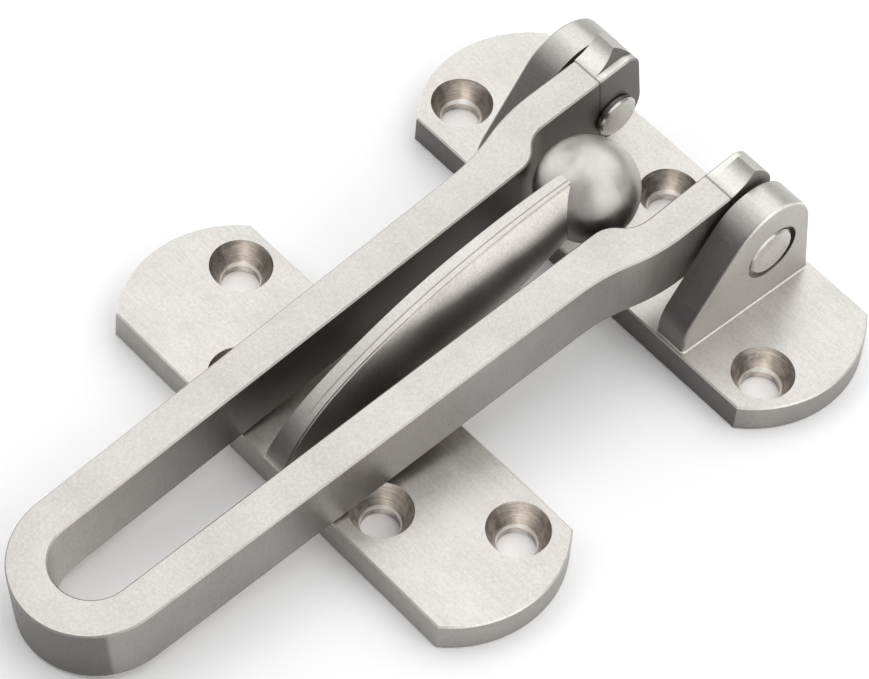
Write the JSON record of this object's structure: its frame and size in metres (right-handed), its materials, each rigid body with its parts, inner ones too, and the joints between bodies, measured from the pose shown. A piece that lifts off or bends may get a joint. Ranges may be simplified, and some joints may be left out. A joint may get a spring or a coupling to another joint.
{
  "type": "swing bar door guard",
  "caption": "Two-part door guard: a hinge plate with a U-shaped swing bar on lugs, and a catch plate whose curved arm ends in a ball that the bar encloses.",
  "frame": {"origin": "middle of the hinge plate's back face, on the surface that both plates are screwed to", "axes": "+Z away from the mounting surface, +Y from the bar's closed end towards its pivot, +X along the plates, to the right when looking along +Y"},
  "size_m": [0.0848, 0.1354, 0.0302],
  "materials": {
    "satin_plate": "satin",
    "satin_catch": "satin",
    "satin_bar": "satin",
    "pin_steel": "satin"
  },
  "bodies": {
    "plates": {"hinge_plate": "satin_plate", "pin_left": "pin_steel", "pin_right": "pin_steel", "catch_plate": "satin_catch"},
    "bar": {"swing_bar": "satin_bar"}
  },
  "joints": [
    {"name": "bar_swing", "type": "hinge", "parent": "plates", "child": "bar", "pos_m": [0, 0.004, 0.016], "axis": [-1, 0, 0], "range_deg": [0, 140]}
  ]
}
